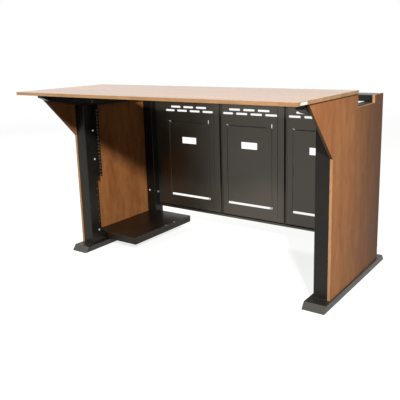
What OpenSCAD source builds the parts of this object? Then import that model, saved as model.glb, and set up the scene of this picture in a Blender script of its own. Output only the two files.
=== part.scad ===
// Monitoring console desk: a laminated worktop on two steel end frames, with laminated side
// panels, a vented steel back wall with three access doors, and a low computer shelf.
// X runs along the desk's width, Y from the user's side to the back wall, Z up.
// Depths are given from the worktop's front edge and heights from the floor.

/* [Worktop] */
// Width over the worktop's ends
desk_w = 1265; // [1215:5:1500]
// Height of the worktop's upper face
desk_h = 750; // [735:5:800]
// Depth of the worktop, front to back
worktop_d = 487; // [470:1:520]
// Thickness of the worktop
worktop_t = 12; // [10:1:20]
// Thickness of the edging strips
edging_t = 1; // [0.5:0.5:2]
// Length of the blank tag on the worktop's right end
tag_l = 45; // [20:1:70]
// Height of the blank tag
tag_h = 8.5; // [5:0.5:9]
// Thickness of the blank tag
tag_t = 0.4; // [0.2:0.1:0.4]
// Distance of the tag from the worktop's front edge
tag_inset = 23; // [10:1:60]

/* [Side panels] */
// Distance of the side panels inside the worktop's ends
panel_inset = 8; // [2:0.5:14]
// Thickness of a side panel
panel_t = 10; // [9:1:25]
// Depth at which the panel's upright front edge stands
panel_front = 285; // [265:1:295]
// Height of the knee where the front edge starts to rake forward
knee_z = 535; // [480:5:600]
// Depth at which the raked edge meets the worktop
rake_top = 94; // [50:1:110]
// Gap between the worktop's rear edge and the notch
notch_gap = 16; // [1:1:24]
// Width of the cable notch behind the worktop
notch_w = 177; // [140:1:190]
// Depth of the cable notch below the worktop's underside
notch_h = 50; // [40:1:55]
// Width of the stub behind the cable notch
stub_w = 96; // [85:1:110]
// Height that the stub stays below the worktop's underside
stub_drop = 20; // [10:1:24]

/* [Uprights] */
// Width of an upright
upright_w = 54.5; // [50:0.5:70]
// Depth of an upright
upright_d = 60; // [52:1:70]
// Wall thickness of the uprights, arms and top rail
steel_t = 2; // [1.5:0.5:3]
// Distance of the front upright behind the side panel's front edge
front_setback = 2; // [1:1:20]
// Length of rear upright that the side panel's rear edge covers
rear_lap = 32; // [20:1:40]
// Pitch of the slots in the front upright's rear edge
slot_pitch = 32; // [25:1:40]
// Number of slots
slot_count = 7; // [1:1:8]
// Height of the lowest slot
slot_z = 119; // [100:1:130]
// Height of one slot
slot_h = 7; // [5:1:14]
// Depth of one slot, front to back
slot_d = 7; // [5:1:12]
// Distance of the slots from the front upright's rear edge
slot_edge = 5; // [3:1:12]

/* [Foot bars] */
// Width of a foot bar
foot_w = 87; // [80:1:95]
// Height of a foot bar
foot_h = 25; // [22:1:28]
// Depth at which the foot bar starts
foot_front = 223; // [200:1:230]
// Length of a foot bar along the floor
foot_l = 625; // [620:1:660]
// Length of the slope at each end of a foot bar
foot_slope = 20; // [10:1:24]
// Wall thickness of a foot bar
foot_t = 3; // [2:0.5:4]
// Distance of the foot bar inside the worktop's end
foot_inset = 1.5; // [0.5:0.5:6]

/* [Levelling feet] */
// Distance of a levelling foot from the foot bar's inner side
leveller_side = 19; // [18:1:24]
// Distance of the front levelling feet from the foot bar's front end
leveller_front = 44; // [40:1:50]
// Distance of the rear levelling feet from the foot bar's rear end
leveller_rear = 36; // [34:1:37]
// Radius of a levelling foot's pad
pad_r = 13; // [10:0.5:14]
// Height of a levelling foot's pad
pad_h = 4.5; // [3:0.5:6]
// Gap between the raised pad and the floor
pad_lift = 0.6; // [0.4:0.1:1]
// Radius of a levelling foot's stud
stud_r = 4; // [3:0.5:5]
// Running clearance round the stud
stud_clear = 0.05; // [0.03:0.01:0.1]
// Travel of a levelling foot
leveller_travel = 10; // [5:1:10]
// Length of stud that stays in its block at full travel
stud_bite = 4; // [3:0.5:4.5]
// Side of the threaded block that holds a stud
block_w = 20; // [16:1:20]
// Height of the threaded block
block_h = 12; // [10:1:13]
// Radius of the access hole over a levelling foot
access_r = 6; // [5.5:0.5:7]

/* [Top arms] */
// Width of a top arm's flanges
arm_w = 31.5; // [30:0.5:45]
// Depth at which a top arm starts
arm_front = 88; // [75:1:110]
// Height of the arm's blunt tip
arm_tip_h = 18; // [10:1:24]
// Length of the slope behind the tip
arm_tip_l = 32; // [20:1:60]
// Height of the arm behind that slope
arm_nose_h = 32; // [28:1:45]
// Height of the arm over the front upright
arm_mid_h = 66; // [60:1:72]
// Height of the arm from the front upright backwards
arm_rear_h = 78; // [74:1:85]
// Length of the step down behind the front upright
arm_step = 38; // [20:1:60]
// Height by which the arm stands proud of the cable notch
arm_proud = 4; // [2:1:8]

/* [Rear top rail] */
// Height of the rear top rail
rail_h = 25; // [16:1:25]

/* [Back wall] */
// Width of the filler at the left end
filler_w = 60; // [30:1:80]
// Width of the post at the right end
end_post_w = 60; // [45:1:80]
// Width of the flat strip on each post
strip_w = 33; // [25:1:38]
// Width of the recessed channel between a strip and the next panel
recess_w = 17; // [12:1:25]
// Thickness of the back wall's sheet steel
sheet_t = 1.5; // [1:0.5:2]
// Depth of the folded edges of the back panels and posts
fold_d = 12; // [10:1:14]
// Depth of the rail behind the back wall's top edge
carrier_d = 12; // [10:1:16]
// Height of the rail behind the back wall's top edge
carrier_h = 24; // [18:1:30]
// Height by which the lower rail's leg laps the back panels
carrier_lap = 10; // [6:1:20]
// Gap between the floor and the back wall
back_lift = 91; // [80:1:100]
// Height of the lip along the back wall's foot
toe_h = 10; // [6:1:12]
// Gap between that lip and the back panels
toe_gap = 6; // [3:1:8]
// Height of the back wall's top edge
back_top = 664; // [656:1:672]
// Distance of the lower row of vent slots from the panel's sides
vent_edge = 2.5; // [2.5:0.5:8]
// Gap between neighbouring vent slots
vent_gap = 17; // [10:1:24]
// Height of a vent slot
vent_h = 9.5; // [6:0.5:12]
// Height of the lower row of vent slots
vent_z = 604; // [598:1:610]
// Height between the two rows of vent slots
vent_rise = 18.5; // [14:0.5:20]
// Vent slots in the lower row; the upper row has one fewer
vent_count = 4; // [3:1:5]

/* [Access doors] */
// Width of back panel at each side of an access door
door_border = 30; // [29:1:40]
// Height of the door's lower edge
door_z = 174; // [168:1:190]
// Height of the door
door_h = 371; // [350:1:375]
// Depth of the door's folded edges
door_fold = 8; // [6:0.5:9]
// Gap at each side of the door
door_side_gap = 2.5; // [2:0.5:3]
// Gap above the door
door_top_gap = 4.5; // [3:0.5:6]
// Gap below the door
door_low_gap = 10.5; // [6:0.5:12]
// Width of the hand hole
hand_w = 86; // [70:1:110]
// Height of the hand hole
hand_h = 32; // [22:1:40]
// Height of the hand hole's lower edge above the door's lower edge
hand_z = 266; // [230:1:290]
// Height by which the door's rear lip passes the opening's top edge
lip_lap = 6; // [4:0.5:8]
// Width by which the panel's tab over the hinge corner passes the end of that lip
tab_lap = 8; // [6:0.5:12]
// Width of the release slit over the hinge corner
slit_w = 5; // [3:0.5:5]
// Height of the release slit above the opening
slit_h = 14; // [8:1:16]
// Side of the relief at the opening's other top corner
relief_w = 4; // [2:0.5:5]
// Distance of the hinge pins from the door's edge
pivot_inset = 6; // [5.5:0.5:8]
// Radius of a hinge pin
pin_r = 2.5; // [2:0.1:2.5]
// Running clearance round a hinge pin
pin_clear = 0.05; // [0.03:0.01:0.1]
// Length of hinge pin inside the door
pin_bite = 8; // [5:1:10]
// Gap between the door and the collars that carry it
collar_gap = 0.3; // [0.2:0.1:0.5]
// Width of the collar round a lower hinge pin
collar_w = 1; // [0.5:0.1:1.5]
// Width of a hinge bracket
bracket_w = 18; // [14:1:24]
// Height of a hinge bracket's plate
bracket_h = 20; // [14:1:24]
// Thickness of a hinge bracket
bracket_t = 2; // [1.5:0.5:2.5]
// Width of a door catch
catch_w = 16; // [12:1:22]
// Height of a door catch
catch_h = 40; // [20:1:60]
// Gap between a closed door and its catch
catch_gap = 0.3; // [0.2:0.1:1]

/* [Rack rail] */
// Width of the rack rail's front flange
rack_w = 30; // [24:1:36]
// Width of the rack rail's fixing leg
rack_leg = 30; // [24:1:40]
// Thickness of the rack rail
rack_t = 2; // [1.5:0.5:2.5]
// Height of the rack rail's lower end
rack_z = 340; // [320:1:360]
// Number of rack units with holes
rack_units = 7; // [1:1:7]
// Radius of a rack hole
rack_hole_r = 3.3; // [2:0.1:3.5]
// Distance of the rack holes from the flange's free edge
rack_hole_inset = 9; // [7:0.5:12]

/* [Computer shelf] */
// Width of the computer shelf
shelf_w = 254; // [230:1:300]
// Depth at which the shelf starts
shelf_front = 362; // [355:1:380]
// Length of the shelf, front to back
shelf_l = 421; // [400:1:425]
// Height of the shelf's upper face
shelf_z = 63; // [58:1:75]
// Height of the shelf's folded edges
shelf_h = 31; // [20:1:31]
// Thickness of the shelf
shelf_t = 2; // [1.5:0.5:3]
// Width of the cut front corner
corner_w = 75; // [60:1:80]
// Length of the cut front corner
corner_l = 42; // [38:1:75]
// Gap between the shelf and the side panel or upright
shelf_gap = 0.5; // [0.3:0.1:3]
// Side of the blocks under the shelf
spacer_w = 40; // [30:1:45]
// Distance of the blocks from the shelf's ends
spacer_inset = 80; // [70:1:100]

/* [Fasteners] */
// Radius of an upright bolt's head
bolt_head_r = 6; // [5:0.5:7]
// Height of an upright bolt's head
bolt_head_h = 4; // [3:0.5:5]
// Radius of an upright bolt's shank
bolt_r = 3; // [2.5:0.5:3.5]
// Length of an upright bolt's shank
bolt_l = 10; // [8:1:16]
// Distance of the upright bolts from the front upright's rear edge
bolt_inset = 14; // [12:1:20]
// Heights of the two bolts that hold the rack rail
rack_bolt_low = 421; // [400:1:440]
// Height of the rack rail's upper bolt
rack_bolt_high = 554; // [540:1:600]
// Height of the front upright's low bolt
low_bolt_z = 81.5; // [75:0.5:95]
// Height of the bolt on the rear upright's front face
face_bolt_z = 179; // [150:1:220]
// Distance of that bolt from the upright's inner side
face_bolt_inset = 33; // [20:1:40]
// Height of the bolt on the rear upright's inner side
side_bolt_z = 169; // [140:1:220]
// Distance of that bolt from the upright's front face
side_bolt_inset = 26; // [10:1:28]
// Radius of a screw's head
screw_head_r = 4.5; // [4:0.5:5]
// Height of a screw's head
screw_head_h = 3; // [2:0.5:4]
// Radius of a screw's shank
screw_r = 2; // [1.5:0.5:2.5]
// Length of screw that reaches into the board
screw_bite = 8; // [5:0.5:8]
// Clearance round bolts and screws in their holes
hole_clear = 0.2; // [0.1:0.05:0.3]

/* [Hidden] */

$fn = 32;
// A hair by which the parts of one solid run into each other
eps = 0.01;
// Length by which a cut runs past the face that it opens
cut = 1;
left = -1;
right = 1;
panel_count = 3;
// Equipment racks have three holes to a unit, at these standard distances
rack_unit = 44.45;
rack_hole_gap = 15.875;

laminate_color = "#A56C45";
edging_color = "#C79A6B";
steel_color = "#2A2826";
sheet_color = "#242220";
zinc_color = "#B9BCBE";
plastic_color = "#3A3A3A";
tag_color = "#F2F0EA";

// Depths and heights that follow from the sizes above
overall_d = foot_front + foot_l;
under_top = desk_h - worktop_t;
notch_front = worktop_d + notch_gap;
notch_rear = notch_front + notch_w;
notch_z = under_top - notch_h;
stub_z = under_top - stub_drop;
panel_rear = notch_rear + stub_w;
panel_outer_x = desk_w / 2 - panel_inset;
panel_inner_x = panel_outer_x - panel_t;
upright_x = panel_inner_x - upright_w;
front_upright_y = panel_front + front_setback;
front_upright_rear = front_upright_y + upright_d;
rear_upright_y = panel_rear - rear_lap;
rear_upright_rear = rear_upright_y + upright_d;
seat_z = notch_z + arm_proud;
arm_mid_z = under_top - arm_mid_h;
arm_rear_z = under_top - arm_rear_h;
foot_x = desk_w / 2 - foot_inset - foot_w;
leveller_x = foot_x + leveller_side;
leveller_y = [foot_front + leveller_front, foot_front + foot_l - leveller_rear];
block_top = foot_h - foot_t;
stud_top = block_top - block_h + leveller_travel + stud_bite;
face_y = rear_upright_rear - carrier_d - fold_d;
run_w = 2 * upright_x - filler_w - end_post_w;
back_pitch = (run_w + strip_w + recess_w) / panel_count;
back_w = back_pitch - strip_w - recess_w;
wall_z = back_lift + toe_h + toe_gap;
vent_pitch = (back_w - 2 * vent_edge + vent_gap) / vent_count;
vent_l = vent_pitch - vent_gap;
door_w = back_w - 2 * door_border;
carrier_y = face_y + fold_d;
opening_w = door_w + 2 * door_side_gap;
opening_z = door_z - door_low_gap;
opening_top = door_z + door_h + door_top_gap;
pivot_x = door_w / 2 - pivot_inset;
pivot_y = face_y + door_fold / 2;
shelf_left = -panel_inner_x + shelf_gap;
shelf_right = shelf_left + shelf_w;
shelf_rear = shelf_front + shelf_l;
catch_z = door_z + door_h / 2 - catch_h / 2;
lug_w = 2 * pivot_inset;
lug_h = pin_bite + sheet_t;
lip_h = door_top_gap + lip_lap;
bracket_x = opening_w / 2 - slit_w - bracket_w;
lip_end = bracket_x - door_side_gap;
rack_hole_x = -upright_x + rack_w - rack_hole_inset;
front_bolt_z = [low_bolt_z, rack_bolt_low, rack_bolt_high];
front_bolt_y = front_upright_rear - bolt_inset;
tag_low = desk_h - worktop_t / 2 - tag_h / 2;
arm_screw_y = [arm_front + screw_span(0.12), arm_front + screw_span(0.5), arm_front + screw_span(0.9)];
panel_screw_z = [screw_level(0.15), screw_level(0.5), screw_level(0.85)];
arm_panel_screw_y = [front_upright_rear + arm_step + screw_head_r + steel_t, rear_upright_y - arm_w];
arm_panel_screw_z = (arm_rear_z + seat_z) / 2;

// Places along the arm's upper flange and up the front upright, as shares of their length
function screw_span(share) = share * (notch_front - arm_front);
function screw_level(share) = foot_h + share * (arm_mid_z - foot_h);

// Middle of the back panel with this number, counted from the left
function panel_x(i) = -upright_x + filler_w + back_w / 2 + i * back_pitch;

// Side panel outline, as depth and height, drawn in by t on every edge
rake_run = panel_front - rake_top;
rake_rise = under_top - knee_z;
rake_len = norm([rake_run, rake_rise]);
function side_outline(t) = [
    [panel_front + t, foot_h + t],
    [panel_front + t, knee_z + t * (rake_len - rake_rise) / rake_run],
    [rake_top + t * (rake_len + rake_run) / rake_rise, under_top - t],
    [notch_front - t, under_top - t],
    [notch_front - t, notch_z - t],
    [notch_rear + t, notch_z - t],
    [notch_rear + t, stub_z - t],
    [panel_rear - t, stub_z - t],
    [panel_rear - t, foot_h + t]
];

// Top arm outline, as depth and height, drawn in by t on every edge
function arm_outline(t) = [
    [arm_front + t, under_top - t],
    [notch_front - t, under_top - t],
    [notch_front - t, seat_z - t],
    [rear_upright_y - t, seat_z - t],
    [rear_upright_y - t, arm_rear_z + t],
    [front_upright_rear + arm_step, arm_rear_z + t],
    [front_upright_rear, arm_mid_z + t],
    [front_upright_y, arm_mid_z + t],
    [arm_front + arm_tip_l, under_top - arm_nose_h + t],
    [arm_front + t, under_top - arm_tip_h + t]
];

// Shelf outline, drawn in by t on every edge
corner_len = norm([corner_w, corner_l]);
function shelf_outline(t) = [
    [shelf_right - t, shelf_front + t],
    [shelf_right - t, shelf_rear - t],
    [-upright_x + shelf_gap + t, shelf_rear - t],
    [-upright_x + shelf_gap + t, rear_upright_y - shelf_gap - t],
    [shelf_left + t, rear_upright_y - shelf_gap - t],
    [shelf_left + t, shelf_front + corner_l + t * (corner_len - corner_l) / corner_w],
    [shelf_left + corner_w + t * (corner_len - corner_w) / corner_l, shelf_front + t]
];

// Foot bar outline, as depth and height, with walls drawn in by t
slope_len = norm([foot_slope, foot_h]);
function foot_outline(t) = [
    [foot_front + t * slope_len / foot_h, 0],
    [foot_front + foot_l - t * slope_len / foot_h, 0],
    [foot_front + foot_l - foot_slope - t * (slope_len - foot_slope) / foot_h, foot_h - t],
    [foot_front + foot_slope + t * (slope_len - foot_slope) / foot_h, foot_h - t]
];

// Moves depths counted from the worktop's front edge to the desk's own middle
module from_front() {
    translate([0, -overall_d / 2, 0]) children();
}

// Draws the right-hand piece, or its mirror image on the left
module on_side(side) {
    scale_x = side == left ? 1 : 0;
    mirror([scale_x, 0, 0]) children();
}

// Turns an outline of depth and height into a slab from x0 to x1
module slab(outline, x0, x1) {
    translate([x0, 0, 0]) rotate([90, 0, 90]) linear_extrude(x1 - x0) polygon(outline);
}

// A box given by its two corners
module block(low, high) {
    translate(low) cube(high - low);
}

// A cylinder along X that starts at this point
module rod_x(point, r, l) {
    translate(point) rotate([0, 90, 0]) cylinder(r = r, h = l);
}

// A cylinder along Y that starts at this point
module rod_y(point, r, l) {
    translate(point) rotate([-90, 0, 0]) cylinder(r = r, h = l);
}

// A cylinder along Z that starts at this point
module rod_z(point, r, l) {
    translate(point) cylinder(r = r, h = l);
}

// Holes for the screws that rise from the arms into the worktop
module worktop_screw_holes() {
    for (side = [left, right], y = arm_screw_y)
        rod_z([side * (panel_inner_x - arm_w / 2), y, under_top - cut], screw_r + hole_clear,
              screw_bite + hole_clear + cut);
}

module worktop() {
    color(laminate_color) from_front() difference() {
        block([-desk_w / 2 + edging_t, edging_t, under_top],
              [desk_w / 2 - edging_t, worktop_d - edging_t, desk_h]);
        worktop_screw_holes();
    }
}

module worktop_edging() {
    color(edging_color) from_front() difference() {
        block([-desk_w / 2, 0, under_top], [desk_w / 2, worktop_d, desk_h]);
        block([-desk_w / 2 + edging_t, edging_t, under_top - cut],
              [desk_w / 2 - edging_t, worktop_d - edging_t, desk_h + cut]);
        block([desk_w / 2 - tag_t, tag_inset, tag_low],
              [desk_w / 2 + cut, tag_inset + tag_l, tag_low + tag_h]);
    }
}

module edge_tag() {
    color(tag_color) from_front()
        block([desk_w / 2 - tag_t, tag_inset, tag_low], [desk_w / 2, tag_inset + tag_l, tag_low + tag_h]);
}

// Screws from the front upright and the arm into the right side panel
module panel_fixings(r, x0, x1) {
    for (z = panel_screw_z) rod_x([x0, front_upright_y + upright_d / 2, z], r, x1 - x0);
    for (y = arm_panel_screw_y) rod_x([x0, y, arm_panel_screw_z], r, x1 - x0);
}

module side_panel(side) {
    color(laminate_color) from_front() on_side(side) difference() {
        slab(side_outline(edging_t), panel_inner_x, panel_outer_x);
        panel_fixings(screw_r + hole_clear, panel_inner_x - cut, panel_inner_x + screw_bite + hole_clear);
    }
}

module side_edging(side) {
    color(edging_color) from_front() on_side(side) difference() {
        slab(side_outline(0), panel_inner_x, panel_outer_x);
        slab(side_outline(edging_t), panel_inner_x - cut, panel_outer_x + cut);
    }
}

// Folded channel, open to the rear, with a row of slots along the inner flange
module front_upright(side) {
    color(steel_color) from_front() on_side(side) difference() {
        block([upright_x, front_upright_y, foot_h], [panel_inner_x, front_upright_rear, arm_mid_z]);
        block([upright_x + steel_t, front_upright_y + steel_t, foot_h - cut],
              [panel_inner_x - steel_t, front_upright_rear + cut, arm_mid_z + cut]);
        for (i = [0 : slot_count - 1])
            translate([0, 0, slot_z + i * slot_pitch])
                block([upright_x - cut, front_upright_rear - slot_edge - slot_d, -slot_h / 2],
                      [upright_x + steel_t + cut, front_upright_rear - slot_edge, slot_h / 2]);
        for (z = side == left ? front_bolt_z : [])
            rod_x([upright_x - cut, front_bolt_y, z], bolt_r + hole_clear, steel_t + 2 * cut);
        for (z = panel_screw_z)
            rod_x([panel_inner_x - steel_t - cut, front_upright_y + upright_d / 2, z],
                  screw_r + hole_clear, steel_t + 2 * cut);
    }
}

// Square tube that stands behind the side panel's rear edge
module rear_upright(side) {
    color(steel_color) from_front() on_side(side) difference() {
        block([upright_x, rear_upright_y, foot_h], [panel_inner_x, rear_upright_rear, seat_z]);
        block([upright_x + steel_t, rear_upright_y + steel_t, foot_h - cut],
              [panel_inner_x - steel_t, rear_upright_rear - steel_t, seat_z + cut]);
        rod_y([upright_x + face_bolt_inset, rear_upright_y - cut, face_bolt_z],
              bolt_r + hole_clear, steel_t + 2 * cut);
        rod_x([upright_x - cut, rear_upright_y + side_bolt_inset, side_bolt_z],
              bolt_r + hole_clear, steel_t + 2 * cut);
    }
}

// Folded bar, open below, with both ends sloped and an access hole over each levelling foot
module foot_bar(side) {
    color(steel_color) from_front() on_side(side) difference() {
        slab(foot_outline(0), foot_x, foot_x + foot_w);
        slab(foot_outline(foot_t), foot_x + foot_t, foot_x + foot_w - foot_t);
        block([foot_x + foot_t, foot_front + foot_slope, -cut],
              [foot_x + foot_w - foot_t, foot_front + foot_l - foot_slope, cut]);
        for (y = leveller_y) rod_z([leveller_x, y, block_top - cut], access_r, foot_t + 2 * cut);
    }
}

module leveller_blocks() {
    color(zinc_color) from_front() for (side = [left, right], y = leveller_y)
        on_side(side) difference() {
            block([leveller_x - block_w / 2, y - block_w / 2, block_top - block_h],
                  [leveller_x + block_w / 2, y + block_w / 2, block_top]);
            rod_z([leveller_x, y, block_top - block_h - cut], stud_r + stud_clear, block_h + 2 * cut);
        }
}

module levelling_foot(side, y) {
    color(plastic_color) from_front() on_side(side) union() {
        rod_z([leveller_x, y, pad_lift], pad_r, pad_h);
        rod_z([leveller_x, y, pad_lift], stud_r, stud_top - pad_lift);
    }
}

// Channel with its web on the side panel and its flanges under the worktop and over the uprights
module top_arm(side) {
    color(steel_color) from_front() on_side(side) difference() {
        slab(arm_outline(0), panel_inner_x - arm_w, panel_inner_x);
        slab(arm_outline(steel_t), panel_inner_x - arm_w - cut, panel_inner_x - steel_t);
        for (y = arm_screw_y)
            rod_z([panel_inner_x - arm_w / 2, y, under_top - steel_t - cut], screw_r + hole_clear,
                  steel_t + 2 * cut);
        for (y = arm_panel_screw_y)
            rod_x([panel_inner_x - steel_t - cut, y, arm_panel_screw_z], screw_r + hole_clear,
                  steel_t + 2 * cut);
    }
}

// Flat tube across the desk behind the cable slot, seated on the arms and the rear uprights
module rear_top_rail() {
    color(steel_color) from_front() difference() {
        block([-panel_inner_x, notch_rear, seat_z], [panel_inner_x, panel_rear, seat_z + rail_h]);
        block([-panel_inner_x - cut, notch_rear + steel_t, seat_z + steel_t],
              [panel_inner_x + cut, panel_rear - steel_t, seat_z + rail_h - steel_t]);
    }
}

// Folded angle between the rear uprights, with its flat face against the back panels
module back_top_rail() {
    color(steel_color) from_front() union() {
        block([-upright_x, carrier_y, back_top - carrier_h], [upright_x, carrier_y + steel_t, back_top]);
        block([-upright_x, carrier_y, back_top - steel_t], [upright_x, carrier_y + carrier_d, back_top]);
    }
}

// Folded channel under the back wall: a leg behind the panels, and a lip in line with their face
module back_bottom_rail() {
    color(steel_color) from_front() difference() {
        block([-upright_x, face_y, back_lift], [upright_x, carrier_y + steel_t, wall_z + carrier_lap]);
        block([-upright_x - cut, face_y + steel_t, back_lift + steel_t],
              [upright_x + cut, carrier_y, wall_z + carrier_lap + cut]);
        block([-upright_x - cut, face_y - cut, back_lift + toe_h],
              [upright_x + cut, carrier_y, wall_z + carrier_lap + cut]);
    }
}

// A slot with round ends, cut through the back wall along Y
module vent_slot(x, z) {
    block([x - vent_l / 2 + vent_h / 2, face_y - cut, z - vent_h / 2],
          [x + vent_l / 2 - vent_h / 2, face_y + sheet_t + cut, z + vent_h / 2]);
    for (dx = [-vent_l / 2 + vent_h / 2, vent_l / 2 - vent_h / 2])
        rod_y([x + dx, face_y - cut, z], vent_h / 2, sheet_t + 2 * cut);
}

module vent_row(x, z, count) {
    for (i = [0 : count - 1]) vent_slot(x + (i - (count - 1) / 2) * vent_pitch, z);
}

// Sheet pan with folded edges, two rows of vents, and a door opening with folded sides; a tab
// closes the gap above the door's hinge corner
module back_panel(i) {
    x = panel_x(i);
    color(sheet_color) from_front() union() {
        difference() {
            union() {
                difference() {
                    block([x - back_w / 2, face_y, wall_z], [x + back_w / 2, carrier_y, back_top]);
                    block([x - back_w / 2 + sheet_t, face_y + sheet_t, wall_z + sheet_t],
                          [x + back_w / 2 - sheet_t, carrier_y + cut, back_top - sheet_t]);
                }
                block([x - opening_w / 2 - sheet_t, face_y, opening_z],
                      [x + opening_w / 2 + sheet_t, face_y + door_fold, opening_top]);
            }
            block([x - opening_w / 2, face_y - cut, opening_z],
                  [x + opening_w / 2, face_y + door_fold + cut, opening_top]);
            block([x + opening_w / 2 - slit_w, face_y - cut, opening_top - cut],
                  [x + opening_w / 2, face_y + sheet_t + cut, opening_top + slit_h]);
            block([x - opening_w / 2 - relief_w / 2, face_y - cut, opening_top - relief_w / 2],
                  [x - opening_w / 2 + relief_w / 2, face_y + sheet_t + cut, opening_top + relief_w / 2]);
            block([x - opening_w / 2 - sheet_t - cut, face_y + sheet_t, catch_z - hole_clear],
                  [x - opening_w / 2 + cut, face_y + door_fold + cut, catch_z + catch_h + hole_clear]);
            vent_row(x, vent_z, vent_count);
            vent_row(x, vent_z + vent_rise, vent_count - 1);
        }
        block([x + lip_end - tab_lap, face_y, door_z + door_h + collar_gap],
              [x + bracket_x + bracket_w, face_y + sheet_t, opening_top + sheet_t]);
    }
}

// Folded post to the right of a panel: a flat strip, then a recessed channel up to the end x
module back_post(i) {
    x0 = panel_x(i) + back_w / 2;
    x1 = x0 + (i == panel_count - 1 ? end_post_w : strip_w + recess_w);
    color(sheet_color) from_front() union() {
        block([x0, face_y, wall_z], [x0 + strip_w, face_y + sheet_t, back_top]);
        block([x0 + strip_w - sheet_t, face_y, wall_z], [x0 + strip_w, carrier_y, back_top]);
        block([x0 + strip_w - sheet_t, carrier_y - sheet_t, wall_z], [x1, carrier_y, back_top]);
        block([x0, face_y, wall_z], [x0 + sheet_t, carrier_y, back_top]);
    }
}

// Folded strip between the left rear upright and the first panel
module back_filler_left() {
    x1 = -upright_x + filler_w;
    color(sheet_color) from_front() difference() {
        block([-upright_x, face_y, wall_z], [x1, carrier_y, back_top]);
        block([-upright_x + sheet_t, face_y + sheet_t, wall_z - cut],
              [x1 - sheet_t, carrier_y + cut, back_top + cut]);
    }
}

// Door pan with folded edges, a hand hole, a lip that closes the gap above it from behind, and
// a bored lug behind each hinge corner
module access_door(i) {
    x = panel_x(i);
    top = door_z + door_h;
    color(sheet_color) from_front() difference() {
        union() {
            difference() {
                block([x - door_w / 2, face_y, door_z], [x + door_w / 2, face_y + door_fold, top]);
                block([x - door_w / 2 + sheet_t, face_y + sheet_t, door_z + sheet_t],
                      [x + door_w / 2 - sheet_t, face_y + door_fold + cut, top - sheet_t]);
                block([x - hand_w / 2, face_y - cut, door_z + hand_z],
                      [x + hand_w / 2, face_y + sheet_t + cut, door_z + hand_z + hand_h]);
            }
            for (z0 = [door_z, top - lug_h])
                block([x + pivot_x - lug_w / 2, face_y, z0],
                      [x + door_w / 2, face_y + door_fold, z0 + lug_h]);
            block([x - door_w / 2, face_y + door_fold - sheet_t, top - sheet_t],
                  [x + lip_end, face_y + door_fold, top + lip_h]);
        }
        for (z0 = [door_z, top - lug_h])
            rod_z([x + pivot_x, pivot_y, z0 - cut], pin_r + pin_clear, lug_h + 2 * cut);
    }
}

// Brackets behind the panels hold the hinge pins; the lower pins have a collar under the door
module hinge_brackets() {
    color(zinc_color) from_front() for (i = [0 : panel_count - 1]) {
        x = panel_x(i) + pivot_x;
        low_x = panel_x(i) + bracket_x;
        high_x = low_x + bracket_w;
        back_y = face_y + sheet_t;
        tab_y = carrier_y - sheet_t;
        base_z = opening_z - bracket_t;
        union() {
            block([low_x, back_y, opening_top], [high_x, back_y + bracket_t, opening_top + bracket_h]);
            block([low_x, back_y, opening_top], [high_x, tab_y, opening_top + bracket_t]);
            rod_z([x, pivot_y, door_z + door_h - pin_bite], pin_r, pin_bite + door_top_gap + bracket_t);
        }
        union() {
            block([low_x, back_y, opening_z - bracket_h], [high_x, back_y + bracket_t, opening_z]);
            block([low_x, back_y, base_z], [high_x, tab_y, opening_z]);
            rod_z([x, pivot_y, base_z], pin_r, bracket_t + door_low_gap + pin_bite);
            rod_z([x, pivot_y, opening_z], pin_r + collar_w, door_low_gap - collar_gap);
        }
    }
}

// Magnetic catches on the panels, beside the doors' free edges
module door_catches() {
    color(plastic_color) from_front() for (i = [0 : panel_count - 1])
        block([panel_x(i) - opening_w / 2 - catch_w, face_y + sheet_t, catch_z],
              [panel_x(i) - door_w / 2 - catch_gap, face_y + door_fold, catch_z + catch_h]);
}

// Angle bolted to the left front upright, with rack holes in its front flange
module rack_rail() {
    color(steel_color) from_front() difference() {
        union() {
            block([-upright_x, front_upright_rear - rack_leg, rack_z],
                  [-upright_x + rack_t, front_upright_rear, arm_mid_z]);
            block([-upright_x, front_upright_rear - rack_t, rack_z],
                  [-upright_x + rack_w, front_upright_rear, arm_mid_z]);
        }
        for (unit = [0 : rack_units - 1], step = [0 : 2])
            rod_y([rack_hole_x, front_upright_rear - rack_t - cut,
                   rack_z + rack_unit * (unit + 0.5) + (step - 1) * rack_hole_gap],
                  rack_hole_r, rack_t + 2 * cut);
        for (z = [rack_bolt_low, rack_bolt_high])
            rod_x([-upright_x - cut, front_bolt_y, z], bolt_r + hole_clear, rack_t + 2 * cut);
    }
}

// Folded tray with edges all round, cut at the front corner and round the rear upright
module computer_shelf() {
    color(steel_color) from_front() difference() {
        translate([0, 0, shelf_z - shelf_h]) linear_extrude(shelf_h) polygon(shelf_outline(0));
        translate([0, 0, shelf_z - shelf_h - cut])
            linear_extrude(shelf_h - shelf_t + cut) polygon(shelf_outline(shelf_t));
    }
}

// Blocks on the left foot bar that carry the shelf's top plate
module shelf_spacers() {
    color(steel_color) from_front()
        for (y = [shelf_front + spacer_inset, shelf_rear - spacer_inset - spacer_w])
            block([-foot_x - foot_t - spacer_w, y, foot_h],
                  [-foot_x - foot_t, y + spacer_w, shelf_z - shelf_t]);
}

// A bolt along X on an upright's inner face, whose outer surface stands at x
module side_bolt(x, y, z) {
    rod_x([x - bolt_head_h, y, z], bolt_head_r, bolt_head_h);
    rod_x([x - eps, y, z], bolt_r, bolt_l);
}

module upright_bolts() {
    color(zinc_color) from_front() {
        on_side(left) {
            side_bolt(upright_x, front_bolt_y, low_bolt_z);
            for (z = [rack_bolt_low, rack_bolt_high]) side_bolt(upright_x - rack_t, front_bolt_y, z);
        }
        for (side = [left, right]) on_side(side) {
            side_bolt(upright_x, rear_upright_y + side_bolt_inset, side_bolt_z);
            rod_y([upright_x + face_bolt_inset, rear_upright_y - bolt_head_h, face_bolt_z],
                  bolt_head_r, bolt_head_h);
            rod_y([upright_x + face_bolt_inset, rear_upright_y - eps, face_bolt_z], bolt_r, bolt_l);
        }
    }
}

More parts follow.
